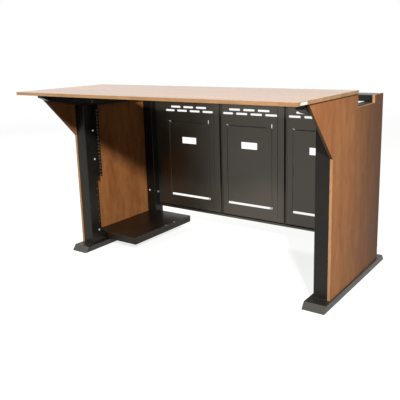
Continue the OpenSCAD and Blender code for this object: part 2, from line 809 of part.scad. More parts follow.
module worktop_screws() {
    color(zinc_color) from_front() for (side = [left, right], y = arm_screw_y) union() {
        x = side * (panel_inner_x - arm_w / 2);
        rod_z([x, y, under_top - steel_t - screw_head_h], screw_head_r, screw_head_h);
        rod_z([x, y, under_top - steel_t - eps], screw_r, steel_t + screw_bite);
    }
}

module panel_screws() {
    color(zinc_color) from_front() for (side = [left, right]) on_side(side) {
        head_x = panel_inner_x - steel_t;
        panel_fixings(screw_head_r, head_x - screw_head_h, head_x);
        panel_fixings(screw_r, head_x - eps, panel_inner_x + screw_bite);
    }
}

worktop();
worktop_edging();
edge_tag();
side_panel(left);  // side_panel_left
side_panel(right);  // side_panel_right
side_edging(left);  // side_edging_left
side_edging(right);  // side_edging_right
front_upright(left);  // front_upright_left
front_upright(right);  // front_upright_right
rear_upright(left);  // rear_upright_left
rear_upright(right);  // rear_upright_right
foot_bar(left);  // foot_bar_left
foot_bar(right);  // foot_bar_right
top_arm(left);  // top_arm_left
top_arm(right);  // top_arm_right
rear_top_rail();
back_top_rail();
back_bottom_rail();
back_panel(0);  // back_panel_left
back_panel(1);  // back_panel_middle
back_panel(2);  // back_panel_right
back_post(0);  // back_post_left
back_post(1);  // back_post_middle
back_post(2);  // back_post_right
back_filler_left();
access_door(0);  // access_door_left
access_door(1);  // access_door_middle
access_door(2);  // access_door_right
hinge_brackets();
door_catches();
rack_rail();
computer_shelf();
shelf_spacers();
upright_bolts();
worktop_screws();
panel_screws();
leveller_blocks();
levelling_foot(left, leveller_y[0]);  // levelling_foot_front_left
levelling_foot(right, leveller_y[0]);  // levelling_foot_front_right
levelling_foot(left, leveller_y[1]);  // levelling_foot_rear_left
levelling_foot(right, leveller_y[1]);  // levelling_foot_rear_right
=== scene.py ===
import math
import bpy
import bmesh
from mathutils import Matrix, Vector


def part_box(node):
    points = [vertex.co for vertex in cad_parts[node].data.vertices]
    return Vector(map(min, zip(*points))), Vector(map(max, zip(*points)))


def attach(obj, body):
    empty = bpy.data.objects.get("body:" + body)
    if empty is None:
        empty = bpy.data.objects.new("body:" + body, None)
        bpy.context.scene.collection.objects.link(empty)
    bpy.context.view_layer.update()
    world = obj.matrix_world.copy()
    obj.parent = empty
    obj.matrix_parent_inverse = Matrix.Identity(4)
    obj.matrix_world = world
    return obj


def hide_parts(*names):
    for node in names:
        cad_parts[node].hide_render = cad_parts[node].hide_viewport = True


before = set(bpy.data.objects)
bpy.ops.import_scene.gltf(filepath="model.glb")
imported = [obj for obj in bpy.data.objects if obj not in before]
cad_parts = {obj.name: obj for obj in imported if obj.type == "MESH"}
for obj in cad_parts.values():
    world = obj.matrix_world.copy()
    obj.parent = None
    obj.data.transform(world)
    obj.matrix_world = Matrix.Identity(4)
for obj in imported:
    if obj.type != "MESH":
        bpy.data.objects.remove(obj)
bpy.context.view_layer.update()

# The studio: a pale floor that keeps the desk's shadow, a white surround, and three soft lamps, at
# the front right, high at the front left and at the rear left. The camera stands at the front
# right, a little above the worktop, as in the photograph.
scene = bpy.context.scene
scene.view_settings.view_transform = "Standard"


def put(tree, kind, inputs=None, **settings):
    """Adds a node, with its settings, and fills or links its inputs."""
    made = tree.nodes.new(kind)
    for name, value in settings.items():
        setattr(made, name, value)
    for name, value in (inputs or {}).items():
        if isinstance(value, bpy.types.NodeSocket):
            tree.links.new(value, made.inputs[name])
        else:
            made.inputs[name].default_value = value
    return made


def worked(tree, operation, *values):
    """The result of a sum on one, two or three values."""
    return put(tree, "ShaderNodeMath", dict(enumerate(values)), operation=operation).outputs[0]


def turned_into(tree, value, span, result, curve="LINEAR"):
    """A value's place in a span, turned into the same place in another span."""
    inputs = {"Value": value, "From Min": span[0], "From Max": span[1],
              "To Min": result[0], "To Max": result[1]}
    return put(tree, "ShaderNodeMapRange", inputs, interpolation_type=curve).outputs[0]


def between(tree, share, low, high, kind="RGBA"):
    """A colour, or a number as FLOAT, between two others by a share from 0 to 1."""
    first, out = {"RGBA": (6, 2), "FLOAT": (2, 0)}[kind]
    inputs = {"Factor": share, first: low, first + 1: high}
    return put(tree, "ShaderNodeMix", inputs, data_type=kind).outputs[out]


def shown_rays(tree):
    """1 for the rays that show the surround: camera, glossy and transmission rays."""
    ray = put(tree, "ShaderNodeLightPath").outputs
    first = worked(tree, "MAXIMUM", ray["Is Camera Ray"], ray["Is Glossy Ray"])
    return worked(tree, "MAXIMUM", first, ray["Is Transmission Ray"])


def in_scene(name, data):
    """A new object in the scene, at the origin."""
    made = bpy.data.objects.new(name, data)
    scene.collection.objects.link(made)
    return made


world = bpy.data.worlds.new("studio")
scene.world = world
world.use_nodes = True
sky = world.node_tree
sky.nodes.clear()
ambient = put(sky, "ShaderNodeBackground", {"Color": (1.0, 0.985, 0.965, 1), "Strength": 0.17})
white = put(sky, "ShaderNodeBackground", {"Color": (1, 1, 1, 1), "Strength": 1.0})
seen_sky = put(sky, "ShaderNodeMixShader",
               {0: shown_rays(sky), 1: ambient.outputs[0], 2: white.outputs[0]})
put(sky, "ShaderNodeOutputWorld", {"Surface": seen_sky.outputs[0]})

floor_paint = bpy.data.materials.new("floor_paint")
floor_paint.use_nodes = True
ground = floor_paint.node_tree
ground.nodes.clear()
shown = shown_rays(ground)
spread = put(ground, "ShaderNodeVectorMath",
             {0: put(ground, "ShaderNodeTexCoord").outputs["Object"]}, operation="LENGTH")
from_desk = spread.outputs["Value"]
near_to_far = (1.6, 7.0)
glow = turned_into(ground, from_desk, near_to_far, (0.80, 1.0), "SMOOTHSTEP")
shown_grey = turned_into(ground, from_desk, near_to_far, (0.36, 0.02), "SMOOTHSTEP")
unshown_grey = 0.16
paint = between(ground, shown, unshown_grey, shown_grey, "FLOAT")
matt = put(ground, "ShaderNodeBsdfDiffuse", {"Color": paint})
lift = put(ground, "ShaderNodeEmission",
           {"Color": (1, 1, 1, 1), "Strength": worked(ground, "MULTIPLY", shown, glow)})
both = put(ground, "ShaderNodeAddShader", {0: matt.outputs[0], 1: lift.outputs[0]})
put(ground, "ShaderNodeOutputMaterial", {"Surface": both.outputs[0]})

reach = 60
floor_mesh = bpy.data.meshes.new("studio_floor")
floor_mesh.from_pydata([(-reach, -reach, 0), (reach, -reach, 0), (reach, reach, 0),
                        (-reach, reach, 0)], [], [(0, 1, 2, 3)])
floor_mesh.materials.append(floor_paint)
studio_floor = in_scene("studio_floor", floor_mesh)

desk_middle = Vector((0.0, 0.0, 0.4))


def soft_lamp(name, place, size, power, colour):
    """A square soft box at a place, turned to the desk."""
    data = bpy.data.lights.new(name, "AREA")
    data.shape, data.size, data.energy, data.color = "SQUARE", size, power, colour
    lamp = in_scene(name, data)
    lamp.location = place
    lamp.rotation_euler = (desk_middle - Vector(place)).to_track_quat("-Z", "Y").to_euler()
    return lamp


warm, soft_white = (1.0, 0.965, 0.92), (1.0, 0.98, 0.95)
soft_lamp("front_lamp", (2.0, -2.05, 1.80), size=0.22, power=116, colour=warm)
soft_lamp("high_lamp", (-2.0, -2.5, 2.8), size=2.2, power=70, colour=soft_white)
rear_lamp = soft_lamp("rear_lamp", (-3.3, 1.5, 2.3), size=1.2, power=90, colour=soft_white)
rear_lamp.visible_glossy = False

camera_data = bpy.data.cameras.new("view_camera")
camera_data.sensor_width = 36.0
camera_data.lens = 51.33
camera_data.shift_x = -0.036
camera_data.shift_y = -0.065
camera = in_scene("view_camera", camera_data)
camera_place = Vector((1.3625, -1.8954, 0.9103))
yaw, pitch, roll = 0.607, -0.219, -0.024
ahead = Vector((-math.sin(yaw) * math.cos(pitch), math.cos(yaw) * math.cos(pitch),
                math.sin(pitch)))
level = Vector((math.cos(yaw), math.sin(yaw), 0))
upward = level.cross(ahead)
side_on = level * math.cos(roll) + upward * math.sin(roll)
up_on = upward * math.cos(roll) - level * math.sin(roll)
camera.matrix_world = Matrix.LocRotScale(
    camera_place, Matrix((side_on, up_on, -ahead)).transposed(), None)
scene.camera = camera

# Foot bars: 3 mm sheet steel folded to a low bar that is open below, with sloped ends, and coated
# with satin black powder. The uprights are welded to them before coating.


def new_finish(name):
    """A material, its tree, its shader, and the place on the piece."""
    material = bpy.data.materials.new(name)
    material.use_nodes = True
    tree = material.node_tree
    spot = put(tree, "ShaderNodeTexCoord").outputs["Object"]
    return material, tree, tree.nodes["Principled BSDF"], spot


def rgba(colour, factor=1.0):
    """A colour with its alpha, made lighter or darker by a factor."""
    return tuple(c * factor for c in colour) + (1,)


def ramp_of(tree, value, marks):
    """A ramp between two colours, from the value at which each is reached."""
    ramp = put(tree, "ShaderNodeValToRGB", {"Fac": value})
    for element, (position, colour) in zip(ramp.color_ramp.elements, marks.items()):
        element.position, element.color = position, colour
    return ramp


def bumped(tree, shader, height, strength, depth):
    """Gives the shader a bump."""
    bump = put(tree, "ShaderNodeBump", {"Height": height, "Strength": strength, "Distance": depth})
    tree.links.new(bump.outputs[0], shader.inputs["Normal"])


def powder_coat(name, colour, roughness, specular, rub, ior=1.5):
    """Satin black powder: fine orange peel, a cloudy gloss, and a few pale rubbed specks."""
    material, tree, shader, spot = new_finish(name)
    cloud = put(tree, "ShaderNodeTexNoise", {"Vector": spot, "Scale": 5.0, "Detail": 3.0})
    tint = ramp_of(tree, cloud.outputs["Fac"], {0.3: rgba(colour, 0.82), 0.7: rgba(colour, 1.18)})
    specks = put(tree, "ShaderNodeTexNoise", {"Vector": spot, "Scale": 260.0, "Detail": 2.0})
    worn = turned_into(tree, specks.outputs["Fac"], (0.7, 0.78), (0.0, rub))
    coat = between(tree, worn, tint.outputs["Color"], (0.12, 0.115, 0.105, 1))
    tree.links.new(coat, shader.inputs["Base Color"])
    gloss = turned_into(tree, cloud.outputs["Fac"], (0.3, 0.7),
                        (roughness - 0.05, roughness + 0.06))
    tree.links.new(gloss, shader.inputs["Roughness"])
    peel = put(tree, "ShaderNodeTexNoise",
               {"Vector": spot, "Scale": 620.0, "Detail": 2.0, "Roughness": 0.6})
    bumped(tree, shader, peel.outputs["Fac"], strength=0.18, depth=0.0002)
    shader.inputs["Specular IOR Level"].default_value = specular
    shader.inputs["IOR"].default_value = ior
    shader.inputs["Specular Tint"].default_value = (1.0, 0.94, 0.84, 1)
    return material


def merged(node):
    """A copy of a CAD node's mesh with its loose triangles joined, to work on."""
    form = bmesh.new()
    form.from_mesh(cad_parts[node].data)
    bmesh.ops.remove_doubles(form, verts=form.verts, dist=1e-5)
    return form


def flats(form):
    """The flat regions of a solid: for each face, the mean width of the flat that it lies in."""
    level_enough = math.radians(1)
    width, waiting = {}, set(form.faces)
    while waiting:
        flat, queue = [], [waiting.pop()]
        while queue:
            face = queue.pop()
            flat.append(face)
            for edge in face.edges:
                for other in edge.link_faces:
                    if other in waiting and edge.calc_face_angle(0) < level_enough:
                        waiting.remove(other)
                        queue.append(other)
        rim_length = sum(edge.calc_length() for face in flat for edge in face.edges
                         if edge.calc_face_angle(0) >= level_enough)
        area = sum(face.calc_area() for face in flat)
        for face in flat:
            width[face] = 2 * area / rim_length
    return width


def corner_of(vertex):
    """A vertex's place to a tenth of a millimetre, to find it again in another mesh."""
    return tuple(round(c, 4) for c in vertex.co)


def dressed(node, material, body, slot, bend, rim, sheet=0.0, seam_with=None):
    """Stands for a CAD node: the same solid with its bends rounded and its cut edges broken.
    Flats narrower than the sheet are cut edges; edges shared with another node stay sharp."""
    gentlest_bend = math.radians(20)
    widest_cut = sheet * 1.3
    form = merged(node)
    shared = set()
    if seam_with:
        shared = {corner_of(v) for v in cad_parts[seam_with].data.vertices}
    width = flats(form)
    weight = form.edges.layers.float.new("bevel_weight_edge")
    for edge in form.edges:
        if len(edge.link_faces) != 2 or edge.calc_face_angle(0) < gentlest_bend:
            continue
        if all(corner_of(v) in shared for v in edge.verts):
            continue
        cut_edge = min(width[face] for face in edge.link_faces) < widest_cut
        inside = edge.calc_face_angle_signed(0) < 0
        edge[weight] = rim / bend if cut_edge or inside else 1.0
    rough = bpy.data.meshes.new(node + "_form")
    form.to_mesh(rough)
    form.free()
    piece = in_scene(node + "_made", rough)
    bevel = piece.modifiers.new("bends", "BEVEL")
    bevel.limit_method, bevel.width, bevel.segments = "WEIGHT", bend, 3
    bevel.use_clamp_overlap = False
    return finished(piece, material, body, slot, node)


def finished(piece, material, body, slot, *nodes):
    """Turns a piece's modifiers into a plain mesh, gives it its finish and body, and hides the CAD
    nodes that it stands for.
    """
    seen = piece.evaluated_get(bpy.context.evaluated_depsgraph_get())
    mesh = bpy.data.meshes.new_from_object(seen)
    mesh.name = piece.name
    piece.modifiers.clear()
    piece.data = mesh
    mesh.materials.clear()
    mesh.materials.append(material)
    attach(piece, body)
    if nodes:
        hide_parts(*nodes)
    return piece


frame_coat = powder_coat("frame_powder_coat", (0.0115, 0.0107, 0.0092),
                         roughness=0.33, specular=0.19, rub=0.5)
foot_coat = powder_coat("foot_powder_coat", (0.0118, 0.0112, 0.0100),
                        roughness=0.42, specular=0.54, rub=0.5)
for side in ("left", "right"):
    dressed("foot_bar_" + side, foot_coat, "desk", "black_steel",
            bend=0.0028, rim=0.0003, sheet=0.003)

# Levelling feet: black moulded pads, each with its threaded stud, that screw into zinc-plated
# blocks inside the foot bars. A hole in the bar's top gives access to each stud.


def new_shape(name, sockets):
    """A tree whose result is a shape, with named inputs by their kinds, and the inputs' values."""
    tree = bpy.data.node_groups.new(name, "GeometryNodeTree")
    tree.interface.new_socket("Geometry", in_out="OUTPUT", socket_type="NodeSocketGeometry")
    for socket, kind in sockets.items():
        tree.interface.new_socket(socket, in_out="INPUT", socket_type="NodeSocket" + kind)
    return tree, put(tree, "NodeGroupInput").outputs


def shape_done(tree, given, shape):
    """Ends a tree: its instances are made real and its material is set."""
    real = put(tree, "GeometryNodeRealizeInstances", {"Geometry": shape})
    coloured = put(tree, "GeometryNodeSetMaterial",
                   {"Geometry": real.outputs[0], "Material": given["Material"]})
    put(tree, "NodeGroupOutput", {"Geometry": coloured.outputs[0]})
    return tree


def rod(tree, sides, radius, length, rings=1):
    """A closed cylinder round Z, centred."""
    inputs = {"Vertices": sides, "Side Segments": rings, "Radius": radius, "Depth": length}
    return put(tree, "GeometryNodeMeshCylinder", inputs).outputs["Mesh"]


def raised(tree, shape, height):
    """A shape moved up."""
    by = put(tree, "ShaderNodeCombineXYZ", {"Z": height}).outputs[0]
    return put(tree, "GeometryNodeTransform", {"Geometry": shape, "Translation": by}).outputs[0]


def thread_tree():
    """A pad with a rounded rim, and a stud with its thread, from their sizes."""
    lengths = ("Pad radius", "Pad height", "Stud radius", "Stud height", "Thread pitch")
    tree, given = new_shape("levelling_foot", {
        "Place": "Vector", **dict.fromkeys(lengths, "Float"), "Material": "Material"})
    pad_high, stud_high, pitch = given["Pad height"], given["Stud height"], given["Thread pitch"]

    place = put(tree, "GeometryNodeInputPosition").outputs[0]
    up = put(tree, "ShaderNodeSeparateXYZ", {0: place}).outputs["Z"]
    to_rim = worked(tree, "POWER", worked(tree, "DIVIDE", up, pad_high), 4.0)
    narrow = worked(tree, "MULTIPLY_ADD", to_rim, -1.6, 1.0)
    size = put(tree, "ShaderNodeCombineXYZ", {"X": narrow, "Y": narrow, "Z": 1.0})
    rounded = put(tree, "ShaderNodeVectorMath", {0: place, 1: size.outputs[0]},
                  operation="MULTIPLY")
    pad = put(tree, "GeometryNodeSetPosition", {
        "Geometry": rod(tree, 40, given["Pad radius"], pad_high, rings=6),
        "Position": rounded.outputs[0]})

    core = rod(tree, 24, worked(tree, "MULTIPLY", given["Stud radius"], 0.86), stud_high)

    free_length = worked(tree, "SUBTRACT", stud_high, pad_high)
    rise = worked(tree, "MULTIPLY_ADD", pitch, -1.0, free_length)
    ridge_radius = worked(tree, "MULTIPLY", pitch, 0.52)
    helix_radius = worked(tree, "SUBTRACT", given["Stud radius"], ridge_radius)
    helix = put(tree, "GeometryNodeCurveSpiral", {
        "Resolution": 20, "Rotations": worked(tree, "DIVIDE", rise, pitch),
        "Start Radius": helix_radius, "End Radius": helix_radius, "Height": rise})
    ridge = put(tree, "GeometryNodeCurvePrimitiveCircle",
                {"Resolution": 6, "Radius": ridge_radius})
    thread = put(tree, "GeometryNodeCurveToMesh", {
        "Curve": helix.outputs[0], "Profile Curve": ridge.outputs["Curve"], "Fill Caps": True})

    joined = put(tree, "GeometryNodeJoinGeometry")
    for part in (raised(tree, thread.outputs[0], pad_high),
                 raised(tree, core, worked(tree, "MULTIPLY", stud_high, 0.5)),
                 raised(tree, pad.outputs[0], worked(tree, "MULTIPLY", pad_high, 0.5))):
        tree.links.new(part, joined.inputs[0])
    placed = put(tree, "GeometryNodeTransform",
                 {"Geometry": joined.outputs[0], "Translation": given["Place"]})
    return shape_done(tree, given, placed.outputs[0])


def grown(name, tree, values, base=None):
    """An object whose shape comes from a tree, its inputs set by their identifiers."""
    piece = in_scene(name, base or bpy.data.meshes.new(name))
    modifier = piece.modifiers.new("shape", "NODES")
    modifier.node_group = tree
    for item in tree.interface.items_tree:
        if item.item_type == "SOCKET" and item.in_out == "INPUT" and item.name in values:
            modifier[item.identifier] = values[item.name]
    return piece


def moulded_plastic(name, colour, roughness):
    """Moulded plastic with a fine spark-eroded grain."""
    material, tree, shader, spot = new_finish(name)
    grain = put(tree, "ShaderNodeTexVoronoi", {"Vector": spot, "Scale": 900.0}).outputs["Distance"]
    shade = turned_into(tree, grain, (0.0, 1.0), (0.85, 1.15))
    tree.links.new(between(tree, shade, rgba(colour, 0.7), rgba(colour)),
                   shader.inputs["Base Color"])
    bumped(tree, shader, grain, strength=0.25, depth=0.0002)
    shader.inputs["Roughness"].default_value = roughness
    return material


def zinc_plate(name, colour, roughness):
    """Zinc-plated steel: bright, with a slightly cloudy passivated skin."""
    material, tree, shader, spot = new_finish(name)
    cloud = put(tree, "ShaderNodeTexNoise", {"Vector": spot, "Scale": 140.0, "Detail": 4.0})
    tint = ramp_of(tree, cloud.outputs["Fac"], {0.35: rgba(colour, 0.8), 0.65: rgba(colour)})
    tree.links.new(tint.outputs["Color"], shader.inputs["Base Color"])
    gloss = turned_into(tree, cloud.outputs["Fac"], (0.0, 1.0), (roughness - 0.1, roughness + 0.15))
    tree.links.new(gloss, shader.inputs["Roughness"])
    shader.inputs["Metallic"].default_value = 1.0
    return material


foot_plastic = moulded_plastic("foot_plastic", (0.035, 0.035, 0.036), roughness=0.55)
bolt_zinc = zinc_plate("bolt_zinc", (0.62, 0.63, 0.64), roughness=0.35)
foot_thread = thread_tree()
for end in ("front_left", "front_right", "rear_left", "rear_right"):
    node = "levelling_foot_" + end
    low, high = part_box(node)
    centre = (low + high) / 2
    foot = grown(node + "_made", foot_thread, {
        "Place": (centre.x, centre.y, low.z),
        "Pad radius": (high.x - low.x) / 2, "Pad height": 0.0045,
        "Stud radius": 0.004, "Stud height": high.z - low.z, "Thread pitch": 0.00125,
        "Material": foot_plastic})
    finished(foot, foot_plastic, node, "black_plastic", node)
dressed("leveller_blocks", bolt_zinc, "desk", "zinc", bend=0.0006, rim=0.0003)

# Uprights: 2 mm channels at the front, open to the rear and slotted for clips, and box tubes at
# the rear. They stand on the foot bars and carry the arms, all under one coat of powder.
folded_2_mm = {"bend": 0.0024, "rim": 0.0003, "sheet": 0.002}
for side in ("left", "right"):
    dressed("front_upright_" + side, frame_coat, "desk", "black_steel", **folded_2_mm)
    dressed("rear_upright_" + side, frame_coat, "desk", "black_steel", **folded_2_mm)

# Weld beads: a rippled fillet round the foot of each upright, where it meets the foot bar, under
# the same coat of powder.


def bead_tree():
    """A round bead along the given edges, with ripples from the welder's pace."""
    lengths = ("Bead radius", "Ripple length", "Ripple depth")
    tree, given = new_shape("weld_bead", {
        "Geometry": "Geometry", **dict.fromkeys(lengths, "Float"), "Material": "Material"})
    steps = 6
    path = put(tree, "GeometryNodeMeshToCurve", {"Mesh": given["Geometry"]})
    fine = put(tree, "GeometryNodeResampleCurve", {
        "Curve": path.outputs[0],
        "Length": worked(tree, "DIVIDE", given["Ripple length"], float(steps))}, mode="LENGTH")
    count = put(tree, "GeometryNodeInputIndex").outputs[0]
    wave = worked(tree, "SINE", worked(tree, "MULTIPLY", count, math.tau / steps))
    swell = worked(tree, "MULTIPLY_ADD", wave, given["Ripple depth"], 1.0)
    ring = put(tree, "GeometryNodeCurvePrimitiveCircle", {"Resolution": 8, "Radius": 1.0})
    bead = put(tree, "GeometryNodeCurveToMesh", {
        "Curve": fine.outputs[0], "Profile Curve": ring.outputs["Curve"],
        "Scale": worked(tree, "MULTIPLY", swell, given["Bead radius"]), "Fill Caps": True})
    return shape_done(tree, given, bead.outputs[0])


front_edge = 424


def metres(x, depth, height):
    """A place in metres, from millimetres with the depth taken from the worktop's front edge."""
    return (x / 1000, (depth - front_edge) / 1000, height / 1000)


bar_top = 25
channel_foot = ((614, 287), (560, 287), (560, 347))
tube_foot = ((614, 744), (560, 744), (560, 804), (614, 804))
corners, lines = [], []
for sign in (-1, 1):
    for path in (channel_foot, tube_foot):
        first = len(corners)
        corners += [metres(sign * x, depth, bar_top) for x, depth in path]
        lines += [(first + i, first + i + 1) for i in range(len(path) - 1)]
weld_paths = bpy.data.meshes.new("weld_beads_made")
weld_paths.from_pydata(corners, lines, [])
beads = grown("weld_beads_made", bead_tree(), {
    "Bead radius": 0.0019, "Ripple length": 0.0024, "Ripple depth": 0.14,
    "Material": frame_coat}, weld_paths)
finished(beads, frame_coat, "desk", "black_steel")

# Top arms and rear top rail: folded channels that taper towards the user and carry the worktop,
# and a flat tube across the desk behind the cable slot.
for node in ("top_arm_left", "top_arm_right", "rear_top_rail"):
    dressed(node, frame_coat, "desk", "black_steel", **folded_2_mm)

# Side panels: 10 mm board faced with a cherry wood-grain laminate, the grain upright, and edged
# with a thin tan strip. The strip's downward faces along the rake are painted dark brown as painted
# shade. They are screwed to the uprights and the arms from inside.


def wood_laminate(name, along, colours, roughness, ior, rear_painted_shade=0.0):
    """Printed wood grain under clear melamine: wavering bands, mottling, streaks, pores and
    flecks. The colour may also be darkened towards the rear of the desk as painted shade."""
    material, tree, shader, spot = new_finish(name)
    waver = put(tree, "ShaderNodeTexNoise", {"Vector": spot, "Scale": 6.0, "Detail": 3.0})
    strayed = waver.outputs["Color"]
    for operation, other in (("SUBTRACT", (0.5, 0.5, 0.5)), ("MULTIPLY", (0.03, 0.03, 0.03)),
                             ("ADD", spot)):
        strayed = put(tree, "ShaderNodeVectorMath", {0: strayed, 1: other},
                      operation=operation).outputs[0]

    def grain(across, run, detail, distortion=0.0, rough=0.5):
        scale = {"X": (run, across, across), "Z": (across, across, run)}[along]
        place = put(tree, "ShaderNodeMapping", {"Vector": strayed, "Scale": scale}).outputs[0]
        return put(tree, "ShaderNodeTexNoise", {
            "Vector": place, "Scale": 1.0, "Detail": detail, "Roughness": rough,
            "Distortion": distortion}).outputs["Fac"]

    band = grain(across=14.0, run=1.3, detail=3.0, distortion=0.6)
    streak = grain(across=80.0, run=2.6, detail=4.0, distortion=0.3, rough=0.6)
    mottle = grain(across=26.0, run=9.0, detail=4.0, distortion=0.9)
    pore = grain(across=900.0, run=42.0, detail=2.0)
    fleck = grain(across=110.0, run=16.0, detail=2.0, distortion=0.5)
    figure = between(tree, 0.26, band, streak, "FLOAT")
    clouded = between(tree, 0.4, figure, mottle, "FLOAT")
    dark, middle, light = colours
    tone = ramp_of(tree, clouded, {0.35: rgba(dark), 0.65: rgba(light)})
    tone.color_ramp.elements.new(0.5).color = rgba(middle)
    marks = turned_into(tree, pore, (0.62, 0.72), (0.0, 0.25))
    dashes = turned_into(tree, fleck, (0.66, 0.74), (0.0, 0.4))
    pits = worked(tree, "MAXIMUM", marks, dashes)
    printed = between(tree, pits, tone.outputs["Color"], rgba(dark, 0.5))
    # Painted shade: by the share given, the colour is darkened towards black towards the rear of
    # the desk.
    depth = put(tree, "ShaderNodeSeparateXYZ", {0: spot}).outputs["Y"]
    share = turned_into(tree, depth, (-0.1, 0.36), (0.0, rear_painted_shade), "SMOOTHSTEP")
    tree.links.new(between(tree, share, printed, (0, 0, 0, 1)), shader.inputs["Base Color"])
    gloss = turned_into(tree, mottle, (0.0, 1.0), (roughness - 0.04, roughness + 0.05))
    tree.links.new(gloss, shader.inputs["Roughness"])
    bumped(tree, shader, pore, strength=0.12, depth=0.0001)
    shader.inputs["IOR"].default_value = ior
    return material


def faced_down(material, values):
    """Gives the shader other values where the surface looks down."""
    tree = material.node_tree
    way = put(tree, "ShaderNodeTexCoord").outputs["Normal"]
    up = put(tree, "ShaderNodeSeparateXYZ", {0: way}).outputs["Z"]
    down = worked(tree, "LESS_THAN", up, -0.3)
    for name, value in values.items():
        entry = tree.nodes["Principled BSDF"].inputs[name]
        face = entry.links[0].from_socket if entry.links else entry.default_value
        kind = "RGBA" if name == "Base Color" else "FLOAT"
        tree.links.new(between(tree, down, face, value, kind), entry)


cherry = ((0.243, 0.087, 0.026), (0.335, 0.132, 0.043), (0.410, 0.178, 0.065))
tan = ((0.32, 0.172, 0.080), (0.41, 0.236, 0.118), (0.48, 0.290, 0.156))
panel_strip = wood_laminate("panel_edging_strip", "Z", tan, roughness=0.5, ior=1.16)
# Painted shade: where the strip looks down, along the rake, it is given a dark brown.
faced_down(panel_strip, {"Base Color": (0.11, 0.058, 0.028, 1)})
board_corner = {"bend": 0.00012, "rim": 0.00012}
strip_corner = {"bend": 0.0005, "rim": 0.0005}
# The right panel's laminate is darkened towards the rear as painted shade; the left one is not.
for side, rear_painted_shade in (("left", 0.0), ("right", 0.64)):
    panel_laminate = wood_laminate("panel_laminate_" + side, "Z", cherry,
                                   roughness=0.45, ior=1.14, rear_painted_shade=rear_painted_shade)
    dressed("side_panel_" + side, panel_laminate, "desk", "laminate",
            seam_with="side_edging_" + side, **board_corner)
    dressed("side_edging_" + side, panel_strip, "desk", "edging",
            seam_with="side_panel_" + side, **strip_corner)

# Worktop: 12 mm board in a laminate of the same grain, satin, its grain along the desk, with
# a dull brown backing sheet below, a tan strip round all four edges and a blank tag let into the
# right end. Its colour is the panels' cherry made paler, partly as painted sheen: the pale gloss
# that the top shows at a low angle is painted into its colour.
# The panels' cherry made paler, partly as painted sheen.
paler_and_painted_sheen = (1.35, 1.70, 1.80)
honey_and_painted_sheen = tuple(tuple(c * k for c, k in zip(colour, paler_and_painted_sheen)) for colour in cherry)
top_laminate = wood_laminate("worktop_laminate", "X", honey_and_painted_sheen, roughness=0.18, ior=1.4)
faced_down(top_laminate, {"Base Color": (0.055, 0.036, 0.024, 1), "Roughness": 0.9})
top_strip = wood_laminate("worktop_edging_strip", "X", tan, roughness=0.5, ior=1.18)
dressed("worktop", top_laminate, "desk", "laminate", seam_with="worktop_edging", **board_corner)
dressed("worktop_edging", top_strip, "desk", "edging", seam_with="worktop", **strip_corner)
tag_film = moulded_plastic("tag_film", (0.86, 0.85, 0.82), roughness=0.45)
dressed("edge_tag", tag_film, "desk", "tag", **board_corner)

# Back wall: three pans of 1.5 mm sheet with two rows of vents and a door opening, folded posts
# beside them, a filler at the left, and the angle and channel that carry them at top and foot.
sheet_coat = powder_coat("sheet_powder_coat", (0.0400, 0.0355, 0.0268),
                         roughness=0.33, specular=0.50, rub=0.4, ior=1.64)
for node in ("back_top_rail", "back_bottom_rail"):
    dressed(node, sheet_coat, "desk", "black_sheet", bend=0.0022, rim=0.0003, sheet=0.002)
folded_1_5_mm = {"bend": 0.0016, "rim": 0.0002, "sheet": 0.0015}
for node in ("back_panel_left", "back_panel_middle", "back_panel_right", "back_post_left",
             "back_post_middle", "back_post_right", "back_filler_left"):
    dressed(node, sheet_coat, "desk", "black_sheet", **folded_1_5_mm)

# Access doors: folded pans of the same sheet with a hand hole. Each swings to the rear on two
# pins in plated brackets and is held shut by a moulded magnetic catch.
for side in ("left", "middle", "right"):
    dressed("access_door_" + side, sheet_coat, "access_door_" + side, "black_sheet",
            **folded_1_5_mm)
dressed("hinge_brackets", bolt_zinc, "desk", "zinc", bend=0.0004, rim=0.0003)
dressed("door_catches", foot_plastic, "desk", "black_plastic", bend=0.0008, rim=0.0003)

# Rack rail: a 2 mm steel angle with the holes for seven units of rack equipment, bolted to the
# left front upright and coated like it.
dressed("rack_rail", frame_coat, "desk", "black_steel", bend=0.0022, rim=0.0002, sheet=0.002)

# Computer shelf: a folded 2 mm tray, low on the left, on two blocks that stand on the foot bar,
# with a hanger plate behind the front upright's low bolt. Its rounded upper edges are painted paler
# as a painted highlight.


def painted_edge_highlight(material, colour):
    """A painted highlight: paler colour on rounded upper edges, where the surface looks neither up
    nor sideways.
    """
    tree = material.node_tree
    entry = tree.nodes["Principled BSDF"].inputs["Base Color"]
    way = put(tree, "ShaderNodeTexCoord").outputs["Normal"]
    up = put(tree, "ShaderNodeSeparateXYZ", {0: way}).outputs["Z"]
    rim = worked(tree, "MULTIPLY", turned_into(tree, up, (0.2, 0.45), (0.0, 1.0)),
                 turned_into(tree, up, (0.99, 0.92), (0.0, 1.0)))
    tree.links.new(between(tree, rim, entry.links[0].from_socket, rgba(colour)), entry)


shelf_coat = powder_coat("shelf_powder_coat", (0.0120, 0.0088, 0.0058),
                         roughness=0.36, specular=0.24, rub=0.4)
# A painted highlight along the shelf's upper edges.
painted_edge_highlight(shelf_coat, (0.075, 0.070, 0.062))
dressed("computer_shelf", shelf_coat, "desk", "black_steel", bend=0.0034, rim=0.0003, sheet=0.002)
dressed("shelf_spacers", frame_coat, "desk", "black_steel", bend=0.0006, rim=0.0003)

